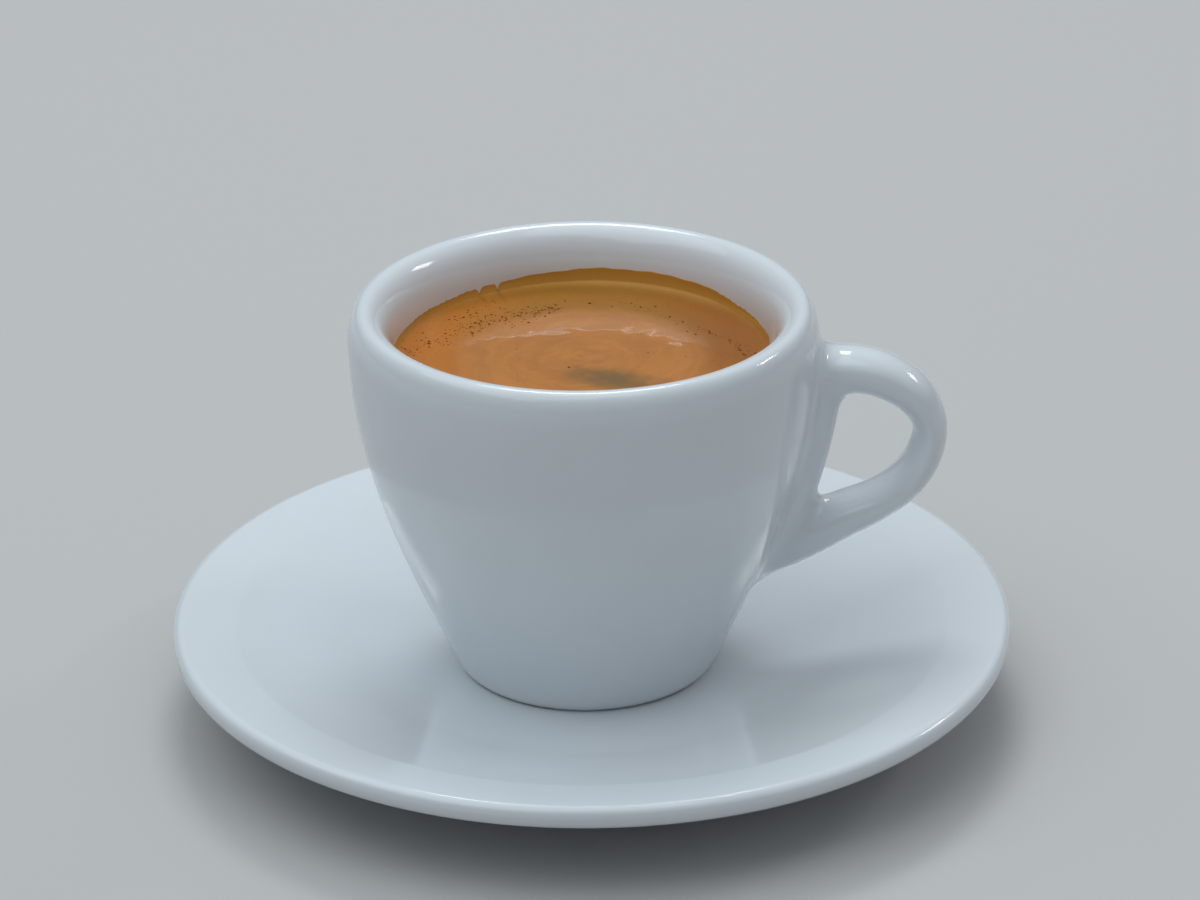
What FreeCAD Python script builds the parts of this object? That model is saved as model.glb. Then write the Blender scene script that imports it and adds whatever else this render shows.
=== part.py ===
"""Espresso shot in a thick porcelain cup with one loop handle, on its saucer.

Millimetres, +Z up. The origin is the centre of the saucer's foot, on the table.
The cup's handle points along +X.
"""
import FreeCAD, Part
import math
import os

# Saucer: one porcelain dish with a rounded lip and a foot ring.
saucer_diameter = 120.0
saucer_lip_height = 14.6
saucer_lip_width = 9.0
saucer_lip_slope = 1.5
saucer_lip_thickness = 3.3
saucer_lip_round = 2.0
saucer_dish_round = 9.0
saucer_floor_level = 6.7
saucer_floor_thickness = 4.2
saucer_floor_diameter = 54.0
saucer_floor_round = 60.0
saucer_foot_diameter = 70.0
saucer_foot_width = 4.0
saucer_foot_height = 3.6
saucer_foot_round = 1.0

# Cup: a body that widens to a heavy rounded rim. It stands a little off centre.
cup_offset = -0.75
cup_height = 54.8
cup_foot_diameter = 36.6
cup_belly_diameter = 65.8
cup_wall = 6.1
cup_rim_drop = 4.5
cup_rim_crest_inset = 2.2
cup_mouth_drop = 6.5
cup_floor_thickness = 7.0
cup_bowl_squareness = 2.6
cup_foot_ring_width = 4.0
cup_foot_recess = 1.0

# Handle: a flat loop with rounded edges, one piece with the wall.
handle_width = 8.6
handle_reach = 18.3
handle_top_drop = 6.2
handle_top_slope = 10.0
handle_top_thickness = 6.8
handle_outer_thickness = 5.0
handle_outer_height = 18.0
handle_low_rise = 9.5
handle_low_thickness = 5.9
handle_leg_thickness = 4.1
handle_edge_round = 2.2
handle_top_bend = 11.5
handle_low_bend = 17.0
handle_gap_bend = 3.2
handle_gap_low_bend = 11.0
handle_gap_foot_bend = 1.8

# Drink: coffee with a layer of crema on top.
drink_drop = 8.5
crema_thickness = 3.0

# Levels and radii that follow from those sizes.
cup_base = saucer_floor_level
rim_level = cup_base + cup_height
drink_level = rim_level - drink_drop
crema_base = drink_level - crema_thickness
saucer_radius = saucer_diameter / 2
foot_radius = cup_foot_diameter / 2
belly_radius = cup_belly_diameter / 2
belly_height = cup_height - cup_rim_drop
mouth_radius = belly_radius - cup_wall
mouth_height = cup_height - cup_mouth_drop

AXIS = FreeCAD.Vector(0, 0, 1)
ORIGIN = FreeCAD.Vector(0, 0, 0)


def flat(x, z):
    """A point of a section, in the XZ plane."""
    return FreeCAD.Vector(x, 0, z)


def rounded_wire(corners):
    """Closed outline of straight sides joined by tangent arcs.

    Each corner is (x, z, radius). An arc takes at most half of a side.
    """
    points = [flat(x, z) for x, z, radius in corners]
    count = len(points)
    bends = []
    for index, corner in enumerate(points):
        back = points[index - 1] - corner
        ahead = points[(index + 1) % count] - corner
        half_angle = back.getAngle(ahead) / 2
        longest = 0.49 * min(back.Length, ahead.Length)
        reach = min(corners[index][2] / math.tan(half_angle), longest)
        back.normalize()
        ahead.normalize()
        inward = (back + ahead).normalize()
        depth = reach / math.cos(half_angle) - reach * math.tan(half_angle)
        bends.append((corner + back * reach, corner + inward * depth, corner + ahead * reach))
    edges = []
    for index, (start, middle, end) in enumerate(bends):
        if corners[index][2] > 0:
            edges.append(Part.Arc(start, middle, end).toShape())
        next_start = bends[(index + 1) % count][0]
        edges.append(Part.LineSegment(end, next_start).toShape())
    return Part.Wire(edges)


def smooth_edge(points):
    """One smooth edge through points of a section."""
    curve = Part.BSplineCurve()
    curve.interpolate([flat(x, z) for x, z in points])
    return curve.toShape()


def turned(wire):
    """Solid of revolution of a closed outline about the Z axis."""
    return Part.Face(wire).revolve(ORIGIN, AXIS, 360)


def make_saucer():
    foot_outer = saucer_foot_diameter / 2
    foot_inner = foot_outer - saucer_foot_width
    recess = saucer_floor_level - saucer_floor_thickness
    corners = [
        (0, saucer_floor_level, 0),
        (saucer_floor_diameter / 2, saucer_floor_level, saucer_floor_round),
        (saucer_radius - saucer_lip_width, saucer_lip_height - saucer_lip_slope, saucer_dish_round),
        (saucer_radius, saucer_lip_height, saucer_lip_round),
        (saucer_radius, saucer_lip_height - saucer_lip_thickness, saucer_lip_round),
        (foot_outer, saucer_foot_height, saucer_foot_round),
        (foot_outer, 0, saucer_foot_round),
        (foot_inner, 0, saucer_foot_round),
        (foot_inner, recess, saucer_foot_round),
        (0, recess, 0),
    ]
    return turned(rounded_wire(corners))


def outer_radius(height):
    """Radius of the cup's outside at a height above its foot."""
    turn = math.pi / 2 * min(height / belly_height, 1)
    return foot_radius + (belly_radius - foot_radius) * math.sin(turn)


def rim_point(turn):
    """Point of the rim: turn 0 is the belly, 90 the crest, 180 the mouth."""
    angle = math.radians(turn)
    crest = belly_radius - cup_rim_crest_inset
    if turn < 90:
        across = cup_rim_crest_inset
        down = cup_rim_drop
    else:
        across = crest - mouth_radius
        down = cup_mouth_drop
    return crest + across * math.cos(angle), cup_height - down * (1 - math.sin(angle))


def bowl_radius(height):
    """Radius of the cup's inside at a height above its foot."""
    share = (height - cup_floor_thickness) / (mouth_height - cup_floor_thickness)
    roundness = 1 - (1 - share) ** cup_bowl_squareness
    return mouth_radius * roundness ** (1 / cup_bowl_squareness)


def make_cup_body():
    """The cup's wall and floor without its handle."""
    steps = 6
    outside = [belly_height * step / steps for step in range(steps)]
    outside = [(outer_radius(height), height) for height in outside]
    rim = [rim_point(turn) for turn in range(0, 181, 15)]
    body = outside + rim
    ring_inner = foot_radius - cup_foot_ring_width
    inner_sides = [body[-1], (0, mouth_height), (0, cup_foot_recess),
                   (ring_inner, cup_foot_recess), (ring_inner, 0), (foot_radius, 0)]
    edges = [smooth_edge(body)]
    for start, end in zip(inner_sides, inner_sides[1:]):
        edges.append(Part.LineSegment(flat(*start), flat(*end)).toShape())
    return turned(Part.Wire(edges))


def make_bowl_space():
    """The space inside the cup, from its floor to the mouth."""
    steps = 10
    depth = mouth_height - cup_floor_thickness
    shares = [(step / steps) ** 2 for step in range(steps + 1)]
    heights = [cup_floor_thickness + depth * share for share in shares]
    wall = [(bowl_radius(height), height) for height in heights]
    edges = [smooth_edge(wall)]
    edges.append(Part.LineSegment(flat(*wall[-1]), flat(0, mouth_height)).toShape())
    edges.append(Part.LineSegment(flat(0, mouth_height), flat(*wall[0])).toShape())
    return turned(Part.Wire(edges))


def crossing(start, slope, other, other_slope):
    """Where two lines of a section meet. A slope is in degrees from +X."""
    one = math.radians(slope)
    two = math.radians(other_slope)
    gap_x = other[0] - start[0]
    gap_z = other[1] - start[1]
    along = (gap_x * math.sin(two) - gap_z * math.cos(two)) / math.sin(two - one)
    return start[0] + along * math.cos(one), start[1] + along * math.sin(one)


def below(point, slope, distance):
    """A point moved squarely off a line, downwards for a positive distance."""
    angle = math.radians(slope)
    return point[0] + distance * math.sin(angle), point[1] - distance * math.cos(angle)


def thick_plate(corners):
    """A plate as thick as the handle is wide, centred on the XZ plane."""
    plate = Part.Face(rounded_wire(corners))
    plate.translate(FreeCAD.Vector(0, -handle_width / 2, 0))
    return plate.extrude(FreeCAD.Vector(0, handle_width, 0))


def make_handle():
    """The loop, long enough inward to join the wall, before the bowl is cut."""
    top_height = cup_height - handle_top_drop
    top = (outer_radius(top_height), top_height)
    low = (outer_radius(handle_low_rise), handle_low_rise)
    outer = (belly_radius + handle_reach, 0)
    top_corner = crossing(top, -handle_top_slope, outer, 90)
    low_corner = (outer[0], top_corner[1] - handle_outer_height)
    low_slope = math.degrees(math.atan2(low_corner[1] - low[1], low_corner[0] - low[0]))
    edge_round = min(handle_edge_round, handle_outer_thickness * 0.47)
    sunk_bend = edge_round + 0.6
    sunk = cup_wall / 2
    top_start = crossing(top, -handle_top_slope, (top[0] - sunk, 0), 90)
    low_start = crossing(low, low_slope, (low[0] - sunk, 0), 90)
    outline = [
        (*top_start, sunk_bend),
        (*top_corner, handle_top_bend),
        (*low_corner, handle_low_bend),
        (*low_start, sunk_bend),
    ]
    gap_top = below(top, -handle_top_slope, handle_top_thickness)
    gap_low = below(low, low_slope, -handle_low_thickness)
    gap_outer = (outer[0] - handle_outer_thickness, 0)
    leg_top = (outer_radius(gap_top[1]) + handle_leg_thickness, gap_top[1])
    leg_foot_height = gap_low[1] + handle_low_thickness
    leg_foot = (outer_radius(leg_foot_height) + handle_leg_thickness, leg_foot_height)
    leg_slope = math.degrees(math.atan2(leg_top[1] - leg_foot[1], leg_top[0] - leg_foot[0]))
    gap = [
        (*crossing(leg_foot, leg_slope, gap_top, -handle_top_slope), handle_gap_bend),
        (*crossing(gap_top, -handle_top_slope, gap_outer, 90), handle_gap_bend),
        (*crossing(gap_low, low_slope, gap_outer, 90), handle_gap_low_bend),
        (*crossing(gap_low, low_slope, leg_foot, leg_slope), handle_gap_foot_bend),
    ]
    loop = thick_plate(outline).cut(thick_plate(gap))
    side = handle_width / 2
    rims = [edge for edge in loop.Edges if abs(abs(edge.CenterOfMass.y) - side) < 0.01]
    return loop.makeFillet(edge_round, rims)


def slab(low, high):
    """A wide flat block between two heights above the cup's foot."""
    side = 2 * cup_belly_diameter
    return Part.makeBox(side, side, high - low, FreeCAD.Vector(-side / 2, -side / 2, low))


def make_cup():
    """The cup and its handle, standing on Z = 0."""
    whole = make_cup_body().fuse(make_handle())
    return whole.cut(make_bowl_space()).removeSplitter()


def make_drink_layer(low, high):
    """The part of the cup's inside between two levels of the whole."""
    return make_bowl_space().common(slab(low - cup_base, high - cup_base))


def placed(shape):
    """A piece of the cup moved to where the cup stands on the saucer."""
    shape.translate(FreeCAD.Vector(cup_offset, 0, cup_base))
    return shape


def save(name, shape):
    solids = shape.Solids
    if len(solids) != 1 or not shape.isValid():
        raise ValueError("%s is not one valid solid" % name)
    solids[0].exportStep(os.path.join("parts", name + ".step"))


os.makedirs("parts", exist_ok=True)
save("saucer", make_saucer())
save("cup", placed(make_cup()))
save("espresso", placed(make_drink_layer(cup_base, crema_base)))
save("crema", placed(make_drink_layer(crema_base, drink_level)))
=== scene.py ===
import math
import random

import bmesh
import bpy
import numpy as np
from mathutils import Matrix, Vector, noise


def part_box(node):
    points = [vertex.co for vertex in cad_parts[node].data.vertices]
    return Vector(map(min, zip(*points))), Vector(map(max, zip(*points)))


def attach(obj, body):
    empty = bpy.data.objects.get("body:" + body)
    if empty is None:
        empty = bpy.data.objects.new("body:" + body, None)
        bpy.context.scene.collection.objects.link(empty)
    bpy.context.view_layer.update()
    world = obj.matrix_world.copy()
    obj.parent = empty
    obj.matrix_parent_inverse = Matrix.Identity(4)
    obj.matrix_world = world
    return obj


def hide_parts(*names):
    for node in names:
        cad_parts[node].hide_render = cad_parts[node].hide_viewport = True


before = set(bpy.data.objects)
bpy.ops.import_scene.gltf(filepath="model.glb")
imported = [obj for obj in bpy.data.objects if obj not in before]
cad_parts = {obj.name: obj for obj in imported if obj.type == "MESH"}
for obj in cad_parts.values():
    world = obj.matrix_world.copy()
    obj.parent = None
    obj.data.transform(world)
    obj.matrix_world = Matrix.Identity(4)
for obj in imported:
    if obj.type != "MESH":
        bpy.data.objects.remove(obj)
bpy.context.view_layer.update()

# ---------------------------------------------------------------- saucer
# The saucer is a thick porcelain dish, pressed on a turning mould and glazed white.
# It has a soft rounded lip, a dish that runs down to a flat floor, and a foot ring.
# It is made here as one section line turned about its axis, at the size of the CAD saucer.
MM = 0.001
saucer_low, saucer_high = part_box("saucer")
saucer_radius = (saucer_high[1] - saucer_low[1]) / 2 / MM
saucer_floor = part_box("cup")[0][2] / MM
lip_rounding = 0.24
lip_height = saucer_high[2] / MM + lip_rounding
lip_width = 9
lip_slope = 1.5
lip_thickness = 3.3
lip_round = 2.0
dish_round = 9
floor_radius = 27
floor_round = 60
foot_outer = 35.0
foot_inner = 31.0
foot_height = 3.6
foot_round = 1.0
foot_recess = saucer_floor - 4.2


def rounded_line(corners, spacing=0.5):
    """Points along an open section line. Each corner is (radius, height, bend radius)."""
    points = [np.array(corners[0][:2], float)]
    for before, corner, after in zip(corners, corners[1:], corners[2:]):
        here = np.array(corner[:2], float)
        back = np.array(before[:2]) - here
        ahead = np.array(after[:2]) - here
        back_length = np.linalg.norm(back)
        ahead_length = np.linalg.norm(ahead)
        back = back / back_length
        ahead = ahead / ahead_length
        half_angle = math.acos(np.clip(back @ ahead, -1, 1)) / 2
        reach = min(corner[2] / math.tan(half_angle), 0.49 * min(back_length, ahead_length))
        bend = reach * math.tan(half_angle)
        centre = here + (back + ahead) / np.linalg.norm(back + ahead) * bend / math.sin(half_angle)
        start = here + back * reach - centre
        end = here + ahead * reach - centre
        first = math.atan2(start[1], start[0])
        turn = math.atan2(end[1], end[0]) - first
        turn = (turn + math.pi) % (2 * math.pi) - math.pi
        steps = max(6, int(abs(turn) * bend / spacing))
        for step in range(steps + 1):
            angle = first + turn * step / steps
            points.append(centre + bend * np.array([math.cos(angle), math.sin(angle)]))
    points.append(np.array(corners[-1][:2], float))
    return points


def turned(name, line, around=288):
    """A mesh of revolution in metres from a section line in millimetres."""
    vertices = []
    rings = []
    for radius, height in line:
        if radius < 1e-6:
            rings.append([len(vertices)] * around)
            vertices.append((0, 0, height * MM))
            continue
        rings.append(list(range(len(vertices), len(vertices) + around)))
        for step in range(around):
            angle = 2 * math.pi * step / around
            x = radius * math.cos(angle) * MM
            y = radius * math.sin(angle) * MM
            vertices.append((x, y, height * MM))
    faces = []
    for low, high in zip(rings, rings[1:]):
        for step in range(around):
            after = (step + 1) % around
            corners = (low[step], low[after], high[after], high[step])
            faces.append(tuple(dict.fromkeys(corners)))
    mesh = bpy.data.meshes.new(name)
    mesh.from_pydata(vertices, [], faces)
    return finished(name, mesh)


def finished(name, mesh):
    """An object of a closed mesh, facing outwards and shaded smooth."""
    work = bmesh.new()
    work.from_mesh(mesh)
    bmesh.ops.recalc_face_normals(work, faces=work.faces)
    work.to_mesh(mesh)
    work.free()
    mesh.shade_smooth()
    piece = bpy.data.objects.new(name, mesh)
    bpy.context.scene.collection.objects.link(piece)
    return piece


saucer_line = rounded_line([
    (0, saucer_floor, 0),
    (floor_radius, saucer_floor, floor_round),
    (saucer_radius - lip_width, lip_height - lip_slope, dish_round),
    (saucer_radius, lip_height, lip_round),
    (saucer_radius, lip_height - lip_thickness, lip_round),
    (foot_outer, foot_height, foot_round),
    (foot_outer, 0, foot_round),
    (foot_inner, 0, foot_round),
    (foot_inner, foot_recess, foot_round),
    (0, foot_recess, 0),
])
saucer = turned("saucer_dish", saucer_line)


def glaze_group():
    """The look of a clear glaze: a faint drift of tone, and a slow wave that bends reflections."""
    group = bpy.data.node_groups.new("glaze", "ShaderNodeTree")
    for name, default in (("Body Colour", (0.8, 0.8, 0.8, 1)), ("Thin Colour", (0.7, 0.7, 0.7, 1))):
        socket = group.interface.new_socket(name, in_out="INPUT", socket_type="NodeSocketColor")
        socket.default_value = default
    for name in ("Colour", "Roughness", "Height"):
        kind = "NodeSocketColor" if name == "Colour" else "NodeSocketFloat"
        group.interface.new_socket(name, in_out="OUTPUT", socket_type=kind)
    nodes = group.nodes
    link = group.links.new
    given = nodes.new("NodeGroupInput")
    result = nodes.new("NodeGroupOutput")
    place = nodes.new("ShaderNodeTexCoord")
    drift = nodes.new("ShaderNodeTexNoise")
    drift.inputs["Scale"].default_value = 38
    drift.inputs["Detail"].default_value = 3
    wave = nodes.new("ShaderNodeTexNoise")
    wave.inputs["Scale"].default_value = 130
    wave.inputs["Detail"].default_value = 1
    pits = nodes.new("ShaderNodeTexNoise")
    pits.inputs["Scale"].default_value = 1400
    pits.inputs["Detail"].default_value = 2
    for texture in (drift, wave, pits):
        link(place.outputs["Object"], texture.inputs["Vector"])
    tone = nodes.new("ShaderNodeMapRange")
    tone.inputs["From Min"].default_value = 0.35
    tone.inputs["From Max"].default_value = 0.7
    link(drift.outputs["Fac"], tone.inputs["Value"])
    mix = nodes.new("ShaderNodeMix")
    mix.data_type = "RGBA"
    link(tone.outputs["Result"], mix.inputs["Factor"])
    link(given.outputs["Body Colour"], mix.inputs["A"])
    link(given.outputs["Thin Colour"], mix.inputs["B"])
    link(mix.outputs["Result"], result.inputs["Colour"])
    gloss = nodes.new("ShaderNodeMapRange")
    gloss.inputs["From Min"].default_value = 0.3
    gloss.inputs["From Max"].default_value = 0.75
    gloss.inputs["To Min"].default_value = 0.06
    gloss.inputs["To Max"].default_value = 0.13
    link(drift.outputs["Fac"], gloss.inputs["Value"])
    link(gloss.outputs["Result"], result.inputs["Roughness"])
    fine = nodes.new("ShaderNodeMath")
    fine.operation = "MULTIPLY"
    fine.inputs[1].default_value = 0.05
    link(pits.outputs["Fac"], fine.inputs[0])
    total = nodes.new("ShaderNodeMath")
    total.operation = "ADD"
    link(wave.outputs["Fac"], total.inputs[0])
    link(fine.outputs["Value"], total.inputs[1])
    link(total.outputs["Value"], result.inputs["Height"])
    return group


glaze = glaze_group()


def porcelain(name):
    """White glazed porcelain, a shade darker and bluer where the glaze lies thin."""
    material = bpy.data.materials.new(name)
    material.use_nodes = True
    nodes = material.node_tree.nodes
    link = material.node_tree.links.new
    shader = nodes["Principled BSDF"]
    shader.inputs["IOR"].default_value = 1.52
    shader.inputs["Specular IOR Level"].default_value = 0.55
    surface = nodes.new("ShaderNodeGroup")
    surface.node_tree = glaze
    surface.inputs["Body Colour"].default_value = (0.76, 0.80, 0.83, 1)
    surface.inputs["Thin Colour"].default_value = (0.735, 0.77, 0.795, 1)
    link(surface.outputs["Colour"], shader.inputs["Base Color"])
    link(surface.outputs["Roughness"], shader.inputs["Roughness"])
    bump = nodes.new("ShaderNodeBump")
    bump.inputs["Strength"].default_value = 0.12
    bump.inputs["Distance"].default_value = 0.0004
    link(surface.outputs["Height"], bump.inputs["Height"])
    link(bump.outputs["Normal"], shader.inputs["Normal"])
    return material


saucer.data.materials.append(porcelain("saucer_glaze"))
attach(saucer, "root")
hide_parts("saucer")

# ---------------------------------------------------------------- cup
# The cup is one piece of thick porcelain: a turned body that widens to a heavy rounded rim,
# and a loop handle stuck on before firing, with the joints wiped into soft hollows.
# Its surface is worked out as a field, body and handle blended together, and meshed from that.
cup_low, cup_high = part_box("cup")
drink_low, drink_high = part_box("crema")
cup_centre = (drink_low[0] + drink_high[0]) / 2 / MM
cup_base = cup_low[2] / MM
cup_height = 54.8
foot_radius = 18.3
belly_radius = (cup_high[1] - cup_low[1]) / 2 / MM
belly_height = 50.3
rim_crest = belly_radius - 2.2
rim_width = 6.1
mouth_radius = belly_radius - rim_width
mouth_height = cup_height - 6.5
bowl_floor = 7.0
bowl_squareness = 2.6
cup_recess = 1.0
handle_half_width = 4.3
handle_edge = 3.0
loop_joint = 3.0
handle_joint = 3.2


def outer_radius(height):
    """Radius of the cup's outside at a height above its foot."""
    turn = math.pi / 2 * min(height / belly_height, 1)
    return foot_radius + (belly_radius - foot_radius) * math.sin(turn)


def inner_radius(height):
    """Radius of the cup's inside at a height above its foot."""
    if height > mouth_height:
        rise = min((height - mouth_height) / (cup_height - mouth_height), 1)
        return rim_crest - (rim_crest - mouth_radius) * math.sqrt(1 - rise * rise)
    share = max(height - bowl_floor, 0) / (mouth_height - bowl_floor)
    return mouth_radius * (1 - (1 - share) ** bowl_squareness) ** (1 / bowl_squareness)


def body_line():
    """Section line of the cup from the middle of its foot, round the rim, to its floor."""
    line = [(0, cup_recess), (foot_radius - 4.6, cup_recess)]
    line += [(foot_radius - 4.0, 0.3), (foot_radius - 3.5, 0)]
    line += [(foot_radius - 0.9, 0), (foot_radius - 0.3, 0.12), (foot_radius, 0.5)]
    heights = np.linspace(0.9, belly_height, 120)
    line += [(outer_radius(height), height) for height in heights]
    for turn in np.radians(np.linspace(1, 90, 50)):
        across = rim_crest + (belly_radius - rim_crest) * math.cos(turn)
        line.append((across, belly_height + (cup_height - belly_height) * math.sin(turn)))
    for turn in np.radians(np.linspace(91, 180, 60)):
        across = rim_crest + (rim_crest - mouth_radius) * math.cos(turn)
        line.append((across, mouth_height + (cup_height - mouth_height) * math.sin(turn)))
    for share in np.linspace(1, 0, 120)[1:] ** 2:
        height = bowl_floor + (mouth_height - bowl_floor) * share
        line.append((inner_radius(height), height))
    return np.array(line)


def smooth_points(points, steps=12):
    """Catmull-Rom curve through points of any dimension."""
    points = np.array(points, float)
    padded = np.vstack([2 * points[0] - points[1], points, 2 * points[-1] - points[-2]])
    curve = []
    for a, b, c, d in zip(padded, padded[1:], padded[2:], padded[3:]):
        for t in np.arange(steps) / steps:
            curve.append(0.5 * (2 * b + (c - a) * t + (2 * a - 5 * b + 4 * c - d) * t ** 2
                                + (3 * b - a - 3 * c + d) * t ** 3))
    curve.append(padded[-2])
    return np.array(curve)


def to_line(x, z, line):
    """Distance from grid points to a line of (x, z, half thickness) points."""
    nearest = np.full(x.shape, 1e9)
    for start, end in zip(line, line[1:]):
        run = end[:2] - start[:2]
        along = ((x - start[0]) * run[0] + (z - start[1]) * run[1]) / (run @ run)
        along = np.clip(along, 0, 1)
        away = np.hypot(x - start[0] - along * run[0], z - start[1] - along * run[1])
        nearest = np.minimum(nearest, away - start[2] - along * (end[2] - start[2]))
    return nearest


def joined(one, other, blend):
    """Two fields put together with a soft hollow where they meet."""
    overlap = np.clip(blend - np.abs(one - other), 0, None)
    return np.minimum(one, other) - overlap ** 2 / (4 * blend)


class Table:
    """A field sampled once over a flat grid and read between its points."""

    def __init__(self, low, high, step, field):
        self.low = np.array(low, float)
        self.step = step
        across = np.arange(low[0], high[0] + step, step)
        up = np.arange(low[1], high[1] + step, step)
        self.values = field(*np.meshgrid(across, up, indexing="ij"))

    def read(self, x, z):
        limit = np.array(self.values.shape) - 1.001
        place_x = (x - self.low[0]) / self.step
        place_z = (z - self.low[1]) / self.step
        kept_x = np.clip(place_x, 0, limit[0])
        kept_z = np.clip(place_z, 0, limit[1])
        outside = np.hypot(place_x - kept_x, place_z - kept_z) * self.step
        column = kept_x.astype(int)
        row = kept_z.astype(int)
        part_x = kept_x - column
        part_z = kept_z - row
        values = self.values
        near = values[column, row] * (1 - part_z) + values[column, row + 1] * part_z
        far = values[column + 1, row] * (1 - part_z) + values[column + 1, row + 1] * part_z
        return near * (1 - part_x) + far * part_x + outside


def body_field(x, z):
    """Signed distance to the cup's wall in its section, negative inside the porcelain."""
    line = body_line()
    thin = np.c_[line, np.zeros(len(line))]
    away = to_line(x, z, thin)
    closed = np.vstack([line, [(0, bowl_floor), (0, cup_recess)]])
    inside = np.zeros(x.shape, bool)
    for start, end in zip(closed, closed[1:]):
        if start[1] == end[1]:
            continue
        spans = (start[1] > z) != (end[1] > z)
        crossing = start[0] + (z - start[1]) / (end[1] - start[1]) * (end[0] - start[0])
        inside ^= spans & (x < crossing)
    return np.where(inside, -away, away)


# The loop runs from under the rim out and down to the lower wall. Each point gives its
# distance from the axis, its height above the foot and half its thickness.
loop_points = [
    (29.5, 44.3, 3.5), (33.5, 44.25, 3.35), (37.5, 44.45, 3.25), (42.0, 43.4, 3.15),
    (46.4, 40.5, 2.9), (48.7, 36.0, 2.45), (47.9, 31.1, 2.55), (45.1, 26.9, 2.7),
    (40.9, 23.9, 2.85), (36.0, 21.6, 3.25), (30.5, 18.7, 3.4), (25.0, 15.3, 2.4),
]
leg_points = [(outer_radius(height) + 0.6, height, 3.3) for height in np.linspace(19, 43, 8)]


def handle_field(x, z):
    """Signed distance to the handle seen from the side, before its edges are rounded."""
    loop = to_line(x, z, smooth_points(loop_points))
    leg = to_line(x, z, np.array(leg_points))
    return joined(loop, leg, loop_joint)


# The first table covers the cup's section, the second the handle from the wall outwards.
body_table = Table((0, -1.5), (36, 56.5), 0.1, body_field)
handle_table = Table((18, 6), (54, 52), 0.15, handle_field)


def cup_field(x, y, z):
    """Roughly the distance to the cup's surface, body and handle blended."""
    wall = body_table.read(np.hypot(x, y), z)
    depth = np.clip(1 + handle_table.read(x, z) / handle_edge, 0, None)
    across = np.abs(y) / handle_half_width
    loop = (np.hypot(depth, across) - 1) * handle_edge
    return joined(wall, loop, handle_joint)


def field_mesh(field, low, high, step):
    """Mesh of the surface where a field is zero: one point in each cell that the surface
    crosses, joined to its neighbours and then drawn onto the surface."""
    axes = [np.arange(a, b + step, step) for a, b in zip(low, high)]
    value = field(*np.meshgrid(*axes, indexing="ij"))
    inside = value < 0
    cells = tuple(size - 1 for size in value.shape)
    total = np.zeros(cells + (3,), np.float32)
    count = np.zeros(cells, np.float32)
    crossings = []
    for axis in range(3):
        first = [slice(None)] * 3
        second = [slice(None)] * 3
        first[axis] = slice(None, -1)
        second[axis] = slice(1, None)
        start = value[tuple(first)]
        end = value[tuple(second)]
        crossed = inside[tuple(first)] != inside[tuple(second)]
        share = np.where(crossed, start / np.where(crossed, start - end, 1), 0)
        crossings.append((crossed, inside[tuple(first)]))
        others = [other for other in range(3) if other != axis]
        for one in (0, 1):
            for two in (0, 1):
                part = [slice(None)] * 3
                part[others[0]] = slice(one, cells[others[0]] + one)
                part[others[1]] = slice(two, cells[others[1]] + two)
                hit = crossed[tuple(part)]
                count += hit
                total[..., axis] += np.where(hit, share[tuple(part)], 0)
                total[..., others[0]] += hit * one
                total[..., others[1]] += hit * two
    used = count > 0
    number = np.full(cells, -1)
    number[used] = np.arange(used.sum())
    corner = np.argwhere(used)
    points = np.array(low) + (corner + total[used] / count[used][:, None]) * step
    faces = []
    for axis, (crossed, start_inside) in enumerate(crossings):
        one, two = [other for other in range(3) if other != axis]
        keep = np.argwhere(crossed)
        keep = keep[(keep[:, one] > 0) & (keep[:, two] > 0)]
        flip = start_inside[tuple(keep.T)] ^ (axis == 1)
        ring = []
        for back_one, back_two in ((1, 1), (0, 1), (0, 0), (1, 0)):
            place = keep.copy()
            place[:, one] -= back_one
            place[:, two] -= back_two
            ring.append(number[tuple(place.T)])
        quad = np.stack(ring, axis=1)
        quad[~flip] = quad[~flip][:, ::-1]
        faces.append(quad)
    sweeps = 6
    tiny = 0.02
    for sweep in range(sweeps):
        here = field(*points.T)
        slope = []
        for axis in range(3):
            offset = np.zeros(3)
            offset[axis] = tiny
            slope.append((field(*(points + offset).T) - field(*(points - offset).T)) / (2 * tiny))
        slope = np.stack(slope, axis=1)
        steep = np.maximum((slope ** 2).sum(axis=1), 0.1)
        move = slope * (here / steep)[:, None]
        points = points - np.clip(move, -step / 2, step / 2)
    return points, np.vstack(faces)


side_gap = 1.3
end_gap = 1.1
handle_room = 19.8
cup_cell = 0.55
cup_low_corner = (-belly_radius - side_gap, -belly_radius - side_gap, -end_gap)
cup_high_corner = (belly_radius + handle_room, belly_radius + side_gap, cup_height + end_gap)
cup_points, cup_faces = field_mesh(cup_field, cup_low_corner, cup_high_corner, cup_cell)
cup_points = (cup_points + (cup_centre, 0, cup_base)) * MM
cup_mesh = bpy.data.meshes.new("cup_with_handle")
cup_mesh.from_pydata(cup_points.tolist(), [], cup_faces.tolist())
cup = finished("cup_with_handle", cup_mesh)
cup.data.materials.append(porcelain("cup_glaze"))
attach(cup, "root")
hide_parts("cup")

# ---------------------------------------------------------------- coffee and crema
# Black coffee fills the cup, and the crema floats on it: a dense moist foam of very fine
# bubbles. It reaches just into the wall, and has climbed the far wall in a thin ragged film.
drink_level = drink_high[2] / MM
crema_base = drink_low[2] / MM
level_height = drink_level - cup_base


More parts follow.
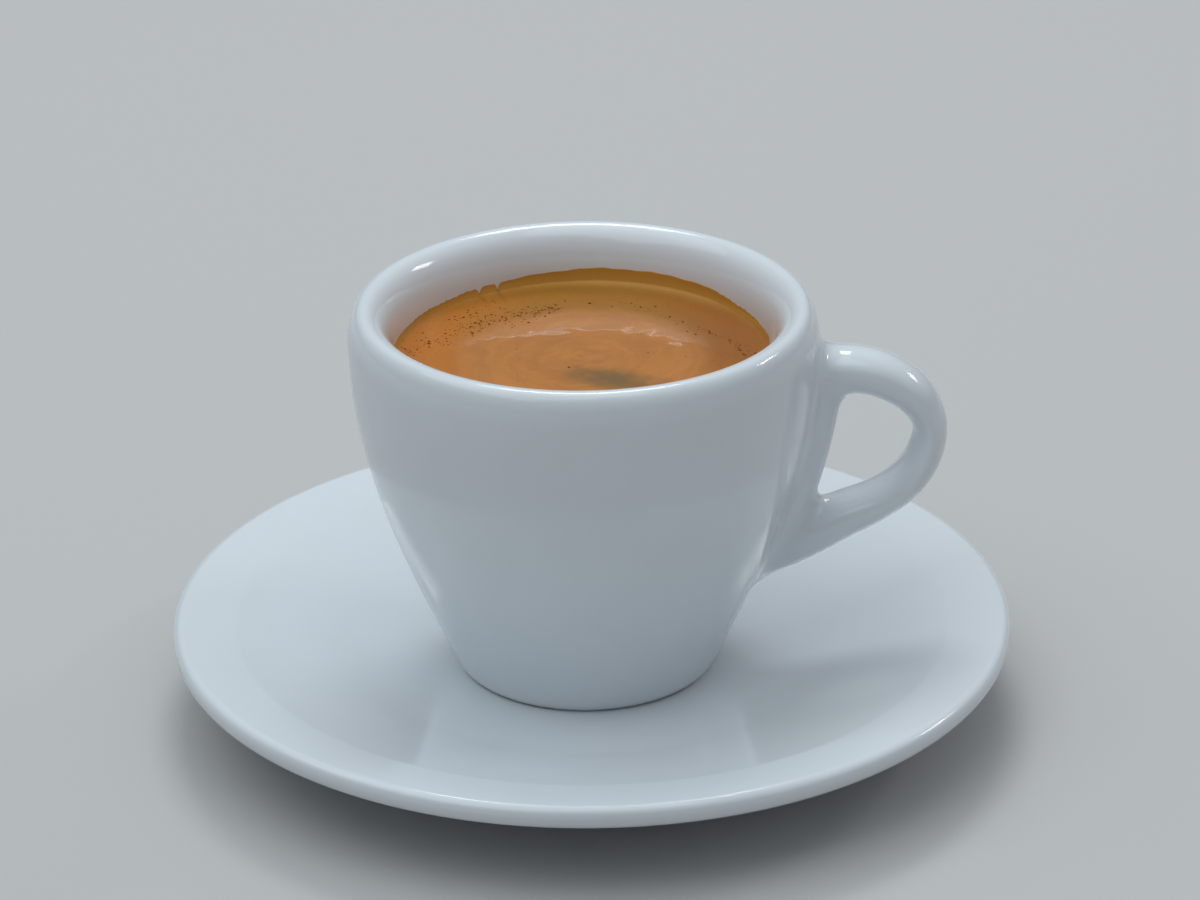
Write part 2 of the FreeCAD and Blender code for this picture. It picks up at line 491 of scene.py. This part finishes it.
def film_height(angle):
    """How far the foam has climbed the wall, in millimetres, for an angle in degrees."""
    known = [(-180, 0.55), (-165, 0.2), (-90, 0.15), (-20, 0.15), (0, 0.35), (20, 0.8), (36, 1.5),
             (51, 2.35), (60, 2.5), (68, 2.57), (76, 2.62), (84, 2.6), (91, 2.48), (98, 2.25),
             (106, 1.98), (113, 1.75), (121, 1.6), (127, 1.45), (140, 1.2), (155, 0.95), (180, 0.55)]
    height = np.interp(angle, [a for a, h in known], [h for a, h in known])
    ragged = 0.06 * math.sin(angle * 0.31) + 0.04 * math.sin(angle * 0.83 + 1)
    if angle > 126 or angle < 45:
        ragged += 0.06 * math.sin(angle * 2.3 + 1) + 0.05 * math.sin(angle * 5.1)
    notch = math.exp(-((angle - 117.5) / 0.55) ** 2) + 0.9 * math.exp(-((angle - 124) / 0.7) ** 2)
    return max(height + ragged * min(height, 1) - notch, 0.06)


around = 720
flat_rings = 109
climb_rings = 15
flat_radius = inner_radius(level_height)
fold_gap = 0.35
fold_share = 0.3
fold_reach = 1.4
meniscus = 0.18
film_thickness = 0.07
into_wall = 0.15


def foam_level(x, y):
    """Height of the foam's top, in millimetres: slow swells, and a curl up at the wall."""
    radius = math.hypot(x, y)
    film = film_height(math.degrees(math.atan2(y, x)))
    swell = noise.noise(Vector((x * 0.11, y * 0.11, 4.0))) * 0.10
    ripple = noise.noise(Vector((x * 0.45, y * 0.45, 9.0))) * 0.022
    edge_fade = min(1, max(0, flat_radius - radius) / 4)
    rise = (meniscus + fold_share * film) * math.exp(-(flat_radius - fold_gap - radius) / fold_reach)
    return drink_level + (swell + ripple) * edge_fade + rise


crema_rings = [("flat", share) for share in np.linspace(0, 1, flat_rings + 1)[1:]]
crema_rings += [("climb", share) for share in np.linspace(0, 1, climb_rings + 1)[1:]]
films = [film_height((360 * step / around + 180) % 360 - 180) for step in range(around)]
turns = [2 * math.pi * step / around for step in range(around)]
vertices = [(cup_centre, 0, foam_level(0, 0))]
for kind, share in crema_rings:
    for film, angle in zip(films, turns):
        if kind == "flat":
            radius = (flat_radius - fold_gap) * share
            height = foam_level(radius * math.cos(angle), radius * math.sin(angle))
        else:
            height = drink_level + meniscus + film * (fold_share + (1 - fold_share) * share)
            fold = (fold_gap - 0.05) * (1 - share) ** 2
            radius = inner_radius(height - cup_base) - fold - film_thickness
        vertices.append((cup_centre + radius * math.cos(angle), radius * math.sin(angle), height))
for film, angle in zip(films, turns):
    height = drink_level + meniscus + film
    radius = inner_radius(height - cup_base) + into_wall
    place = (cup_centre + radius * math.cos(angle), radius * math.sin(angle), height - 0.05)
    vertices.append(place)
base_radius = inner_radius(crema_base - cup_base) + into_wall
for angle in turns:
    across = cup_centre + base_radius * math.cos(angle)
    vertices.append((across, base_radius * math.sin(angle), crema_base))
vertices.append((cup_centre, 0, crema_base))
rings = [[0] * around]
for index in range(len(crema_rings) + 2):
    first = 1 + index * around
    rings.append(list(range(first, first + around)))
rings.append([len(vertices) - 1] * around)
faces = []
for low_ring, high_ring in zip(rings, rings[1:]):
    for step in range(around):
        after = (step + 1) % around
        corners = (low_ring[step], low_ring[after], high_ring[after], high_ring[step])
        faces.append(tuple(dict.fromkeys(corners)))
crema_mesh = bpy.data.meshes.new("crema_foam")
crema_mesh.from_pydata([tuple(part * MM for part in place) for place in vertices], [], faces)
crema = finished("crema_foam", crema_mesh)


class Nodes:
    """Short ways to add and join the nodes of one material."""

    def __init__(self, material):
        self.nodes = material.node_tree.nodes
        self.link = material.node_tree.links.new

    def feed(self, socket, value):
        if isinstance(value, bpy.types.NodeSocket):
            self.link(value, socket)
        else:
            socket.default_value = value

    def maths(self, operation, *values):
        node = self.nodes.new("ShaderNodeMath")
        node.operation = operation
        for socket, value in zip(node.inputs, values):
            self.feed(socket, value)
        return node.outputs[0]

    def span(self, value, low, high, start=0.0, end=1.0):
        """A soft step: start below low, end above high."""
        node = self.nodes.new("ShaderNodeMapRange")
        node.interpolation_type = "SMOOTHSTEP"
        for socket, given in zip(node.inputs, (value, low, high, start, end)):
            self.feed(socket, given)
        return node.outputs["Result"]

    def vector(self, x, y, z):
        node = self.nodes.new("ShaderNodeCombineXYZ")
        for socket, value in zip(node.inputs, (x, y, z)):
            self.feed(socket, value)
        return node.outputs[0]

    def noise(self, vector, scale, detail=2.0, roughness=0.5):
        node = self.nodes.new("ShaderNodeTexNoise")
        self.feed(node.inputs["Vector"], vector)
        node.inputs["Scale"].default_value = scale
        node.inputs["Detail"].default_value = detail
        node.inputs["Roughness"].default_value = roughness
        return node.outputs["Fac"]

    def cells(self, vector, scale):
        node = self.nodes.new("ShaderNodeTexVoronoi")
        self.feed(node.inputs["Vector"], vector)
        node.inputs["Scale"].default_value = scale
        return node.outputs["Distance"]

    def mix(self, factor, one, two):
        node = self.nodes.new("ShaderNodeMix")
        node.data_type = "RGBA"
        for name, value in (("Factor", factor), ("A", one), ("B", two)):
            self.feed(node.inputs[name], value)
        return node.outputs["Result"]


def drink_place(kit):
    """Place in the cup in millimetres: x, y, height above the drink, radius and angle."""
    place = kit.nodes.new("ShaderNodeTexCoord")
    split = kit.nodes.new("ShaderNodeSeparateXYZ")
    kit.link(place.outputs["Object"], split.inputs[0])
    x = kit.maths("SUBTRACT", kit.maths("MULTIPLY", split.outputs[0], 1000), cup_centre)
    y = kit.maths("MULTIPLY", split.outputs[1], 1000)
    height = kit.maths("SUBTRACT", kit.maths("MULTIPLY", split.outputs[2], 1000), drink_level)
    radius = kit.maths("SQRT", kit.maths("ADD", kit.maths("MULTIPLY", x, x), kit.maths("MULTIPLY", y, y)))
    angle = kit.maths("ARCTAN2", y, x)
    return x, y, height, radius, angle


def spot(kit, x, y, centre, size, turn=0.0):
    """Distance from the middle of an oval, 1 on its edge."""
    shift_x = kit.maths("SUBTRACT", x, centre[0])
    shift_y = kit.maths("SUBTRACT", y, centre[1])
    cosine = math.cos(math.radians(turn))
    sine = math.sin(math.radians(turn))
    along = kit.maths("ADD", kit.maths("MULTIPLY", shift_x, cosine / size[0]),
                      kit.maths("MULTIPLY", shift_y, sine / size[0]))
    across = kit.maths("SUBTRACT", kit.maths("MULTIPLY", shift_y, cosine / size[1]),
                       kit.maths("MULTIPLY", shift_x, sine / size[1]))
    squares = kit.maths("ADD", kit.maths("MULTIPLY", along, along), kit.maths("MULTIPLY", across, across))
    return kit.maths("SQRT", squares)


crema_material = bpy.data.materials.new("crema_foam")
crema_material.use_nodes = True
shader = crema_material.node_tree.nodes["Principled BSDF"]
kit = Nodes(crema_material)
x, y, height, radius, angle = drink_place(kit)
place = kit.vector(x, y, 0.0)
drift = kit.maths("MULTIPLY", kit.maths("SUBTRACT", kit.noise(place, 0.16, 3), 0.5), 6.0)
loose_radius = kit.maths("ADD", radius, drift)
ring_place = kit.vector(kit.maths("MULTIPLY", loose_radius, 0.5), kit.maths("COSINE", angle),
                        kit.maths("SINE", angle))
streaks = kit.span(kit.noise(ring_place, 1.0, 4, 0.6), 0.30, 0.70)
mottle = kit.span(kit.noise(place, 0.9, 5, 0.65), 0.30, 0.72)
colour = kit.mix(streaks, (0.46, 0.155, 0.017, 1), (0.57, 0.203, 0.025, 1))
colour = kit.mix(kit.maths("MULTIPLY", mottle, 0.30), colour, (0.48, 0.19, 0.026, 1))
collar = kit.span(kit.maths("ADD", radius, kit.maths("MULTIPLY", drift, 0.5)), 14.5, 19.5)
left_tone = kit.mix(kit.span(x, -24.0, -4.0), (0.50, 0.155, 0.012, 1), (0.33, 0.140, 0.018, 1))
collar_tone = kit.mix(kit.span(x, 6.0, 22.0), left_tone, (0.29, 0.090, 0.007, 1))
front = kit.span(y, -14.0, 2.0)
colour = kit.mix(kit.maths("MULTIPLY", collar, kit.maths("MULTIPLY", front, 0.85)), colour, collar_tone)
patch_edge = kit.maths("MULTIPLY", kit.maths("SUBTRACT", kit.noise(place, 0.35, 4), 0.5), 1.0)
patch = kit.maths("ADD", spot(kit, x, y, (4.2, -7.2), (8.0, 4.0), -24), patch_edge)
patch = kit.span(patch, 0.15, 1.25, 1.0, 0.0)
colour = kit.mix(kit.maths("MULTIPLY", patch, 0.85), colour, (0.17, 0.098, 0.024, 1))
specks = kit.span(kit.cells(place, 1.7), 0.10, 0.24, 1.0, 0.0)
speck_zone = kit.span(loose_radius, 14.0, 19.0)
speck_zone = kit.maths("MULTIPLY", speck_zone, kit.span(kit.noise(place, 0.3, 2), 0.42, 0.6))
specks = kit.maths("MULTIPLY", specks, speck_zone)
colour = kit.mix(kit.maths("MULTIPLY", specks, 0.55), colour, (0.16, 0.045, 0.006, 1))
# Painted light: the film climbing the far wall gets a lighter, yellower colour than the foam. This lifts the
# shade that falls on that wall, on top of the film's own olive tan.
film = kit.span(height, 0.1, 0.9)
film_place = kit.vector(kit.maths("MULTIPLY", angle, 9.0), kit.maths("MULTIPLY", height, 0.5), 0.0)
film_colour_and_painted_light = kit.mix(kit.noise(film_place, 0.8, 3), (0.62, 0.300, 0.050, 1), (0.55, 0.255, 0.038, 1))
colour = kit.mix(kit.maths("MULTIPLY", film, 0.9), colour, film_colour_and_painted_light)
kit.feed(shader.inputs["Base Color"], colour)
kit.feed(shader.inputs["Roughness"], kit.span(mottle, 0.0, 1.0, 0.34, 0.46))
shader.inputs["Specular IOR Level"].default_value = 0.15
still = kit.span(radius, 15.0, 20.0, 0.9, 0.15)
kit.feed(shader.inputs["Coat Weight"], kit.maths("MULTIPLY", still, kit.span(specks, 0.0, 1.0, 1.0, 0.4)))
shader.inputs["Coat Roughness"].default_value = 0.06
grain = kit.maths("MULTIPLY", kit.noise(place, 3.2, 3, 0.6), 0.5)
dents = kit.maths("SUBTRACT", kit.maths("ADD", grain, kit.noise(place, 0.8, 2)), specks)
bump = kit.nodes.new("ShaderNodeBump")
bump.inputs["Strength"].default_value = 0.35
bump.inputs["Distance"].default_value = 0.00008
kit.feed(bump.inputs["Height"], dents)
kit.feed(shader.inputs["Normal"], bump.outputs["Normal"])
crema.data.materials.append(crema_material)
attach(crema, "root")
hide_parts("crema")

# ---------------------------------------------------------------- bubbles
# Coarser bubbles gather where the foam thins out towards the wall. Each is a low dome of
# coffee film that looks dark, as the black coffee shows through it. They are one joined mesh.
# A band gives its line as (angle, radius), how many bubbles it has and how far they stray.
bubble_bands = [
    ([(100, 18.6), (118, 18.4), (135, 18.8), (152, 20.7), (167, 22.5), (178, 25.2)], 300, 1.1),
    ([(120, 22.0), (150, 23.5), (176, 25.6)], 90, 1.2),
    ([(-8, 25.2), (6, 23.0), (18, 20.6), (36, 18.6)], 90, 0.9),
    ([(40, 20.0), (100, 19.5)], 30, 1.2),
]
chance = random.Random(7)
bubbles = []
for band, count, spread in bubble_bands:
    for index in range(count):
        angle = chance.uniform(band[0][0], band[-1][0])
        middle = np.interp(angle, [a for a, r in band], [r for a, r in band])
        bubbles.append((math.radians(angle), middle + chance.gauss(0, spread)))
loose_bubbles = 34
for index in range(loose_bubbles):
    bubbles.append((chance.uniform(0, 2 * math.pi), 24 * math.sqrt(chance.random())))
dome_steps = 10
dome_line = [(-0.12, 1.0), (0.14, 0.94), (0.32, 0.70), (0.43, 0.34)]
dome_top = 0.47
smallest = 0.05
usual_growth = 0.052
largest = 0.30
vertices = []
faces = []
for angle, radius in bubbles:
    size = min(smallest + chance.expovariate(1 / usual_growth), largest)
    radius = min(radius, flat_radius - 0.5 - size)
    x = radius * math.cos(angle)
    y = radius * math.sin(angle)
    level = foam_level(x, y)
    start = len(vertices)
    for lift, width in dome_line:
        for step in range(dome_steps):
            turn = 2 * math.pi * step / dome_steps
            vertices.append((cup_centre + x + size * width * math.cos(turn),
                             y + size * width * math.sin(turn), level + size * lift))
    vertices.append((cup_centre + x, y, level + size * dome_top))
    vertices.append((cup_centre + x, y, level + size * dome_line[0][0]))
    for ring in range(3):
        for step in range(dome_steps):
            one = start + ring * dome_steps + step
            two = start + ring * dome_steps + (step + 1) % dome_steps
            faces.append((one, two, two + dome_steps, one + dome_steps))
    for step in range(dome_steps):
        after = (step + 1) % dome_steps
        top = start + 3 * dome_steps
        faces.append((top + step, top + after, start + 4 * dome_steps))
        faces.append((start + after, start + step, start + 4 * dome_steps + 1))
bubble_mesh = bpy.data.meshes.new("bubbles")
bubble_mesh.from_pydata([tuple(part * MM for part in place) for place in vertices], [], faces)
bubble_piece = finished("bubbles", bubble_mesh)
bubble_material = bpy.data.materials.new("bubble_film")
bubble_material.use_nodes = True
shader = bubble_material.node_tree.nodes["Principled BSDF"]
kit = Nodes(bubble_material)
x, y = drink_place(kit)[:2]
tone = kit.span(kit.noise(kit.vector(x, y, 0.0), 1.3, 1), 0.35, 0.65)
kit.feed(shader.inputs["Base Color"], kit.mix(tone, (0.13, 0.032, 0.004, 1), (0.25, 0.075, 0.009, 1)))
shader.inputs["Roughness"].default_value = 0.3
shader.inputs["Specular IOR Level"].default_value = 0.05
bubble_piece.data.materials.append(bubble_material)
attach(bubble_piece, "root")

# ---------------------------------------------------------------- coffee
# Black coffee fills the bowl below the crema, and is hidden by it.
# It keeps its solid as built, and only its finish is set here.
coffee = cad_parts["espresso"]
coffee_material = bpy.data.materials.new("black_coffee")
coffee_material.use_nodes = True
shader = coffee_material.node_tree.nodes["Principled BSDF"]
kit = Nodes(coffee_material)
height = drink_place(kit)[2]
tone = kit.span(height, -40.0, -3.0)
kit.feed(shader.inputs["Base Color"], kit.mix(tone, (0.010, 0.004, 0.002, 1), (0.035, 0.013, 0.005, 1)))
shader.inputs["Roughness"].default_value = 0.08
coffee.data.materials.clear()
coffee.data.materials.append(coffee_material)

# ---------------------------------------------------------------- floor, light and camera
# The set stands on plain pale paper under a large soft box, with a window behind it and a
# small paned window to the right, in a room whose walls are darker than its ceiling.
floor_mesh = bpy.data.meshes.new("floor")
floor_mesh.from_pydata([(-3, -3, 0), (3, -3, 0), (3, 3, 0), (-3, 3, 0)], [], [(0, 1, 2, 3)])
floor = bpy.data.objects.new("floor", floor_mesh)
bpy.context.scene.collection.objects.link(floor)
floor_material = bpy.data.materials.new("floor_paper")
floor_material.use_nodes = True
floor_shader = floor_material.node_tree.nodes["Principled BSDF"]
floor_shader.inputs["Base Color"].default_value = (0.55, 0.54, 0.53, 1)
floor_shader.inputs["Roughness"].default_value = 0.8
floor.data.materials.append(floor_material)

world = bpy.data.worlds.new("studio")
world.use_nodes = True
sky = world.node_tree.nodes
sky_link = world.node_tree.links.new
direction = sky.new("ShaderNodeTexCoord")
split = sky.new("ShaderNodeSeparateXYZ")
height = sky.new("ShaderNodeMapRange")
height.inputs["From Min"].default_value = 0.25
height.inputs["From Max"].default_value = 0.8
wall_to_ceiling = sky.new("ShaderNodeMix")
wall_to_ceiling.data_type = "RGBA"
wall_to_ceiling.inputs["A"].default_value = (0.07, 0.07, 0.072, 1)
wall_to_ceiling.inputs["B"].default_value = (0.50, 0.55, 0.60, 1)
sky_link(direction.outputs["Generated"], split.inputs[0])
sky_link(split.outputs["Z"], height.inputs["Value"])
sky_link(height.outputs["Result"], wall_to_ceiling.inputs["Factor"])
sky_link(wall_to_ceiling.outputs["Result"], sky["Background"].inputs["Color"])
sky["Background"].inputs["Strength"].default_value = 1.0
bpy.context.scene.world = world


def soft_box(name, place, aim, width, height, power, colour=(1, 1, 1)):
    lamp = bpy.data.lights.new(name, "AREA")
    lamp.shape = "RECTANGLE"
    lamp.size = width
    lamp.size_y = height
    lamp.energy = power
    lamp.color = colour
    holder = bpy.data.objects.new(name, lamp)
    holder.location = place
    holder.rotation_euler = (Vector(aim) - Vector(place)).to_track_quat("-Z", "Y").to_euler()
    bpy.context.scene.collection.objects.link(holder)


soft_box("overhead", (-0.35, -0.15, 1.25), (0, 0, 0.03), 1.5, 1.5, 7.8, (0.88, 0.96, 1))
soft_box("back_window", (0, 0.62, 1.0), (0, 0, 0.05), 0.42, 0.30, 2.8, (0.95, 0.98, 1))
pane_gap = 0.06
for pane in range(5):
    across = pane_gap * (pane - 2)
    soft_box("window_pane", (1.0 - 0.39 * across, 0.42 + 0.92 * across, 0.74), (0, 0, 0.05), 0.04, 0.13, 0.22)

camera_data = bpy.data.cameras.new("camera")
camera_data.lens = 135
camera_data.sensor_width = 36
camera = bpy.data.objects.new("camera", camera_data)
camera_place = Vector((0.0, -0.5782, 0.3038))
camera_forward = Vector((0.00225, 0.90914, -0.41648))
tilt = math.radians(-0.576)
camera.matrix_world = Matrix.Translation(camera_place) @ (
    camera_forward.to_track_quat("-Z", "Y").to_matrix().to_4x4() @ Matrix.Rotation(tilt, 4, "Z"))
bpy.context.scene.collection.objects.link(camera)
bpy.context.scene.camera = camera
bpy.context.scene.view_settings.view_transform = "Standard"
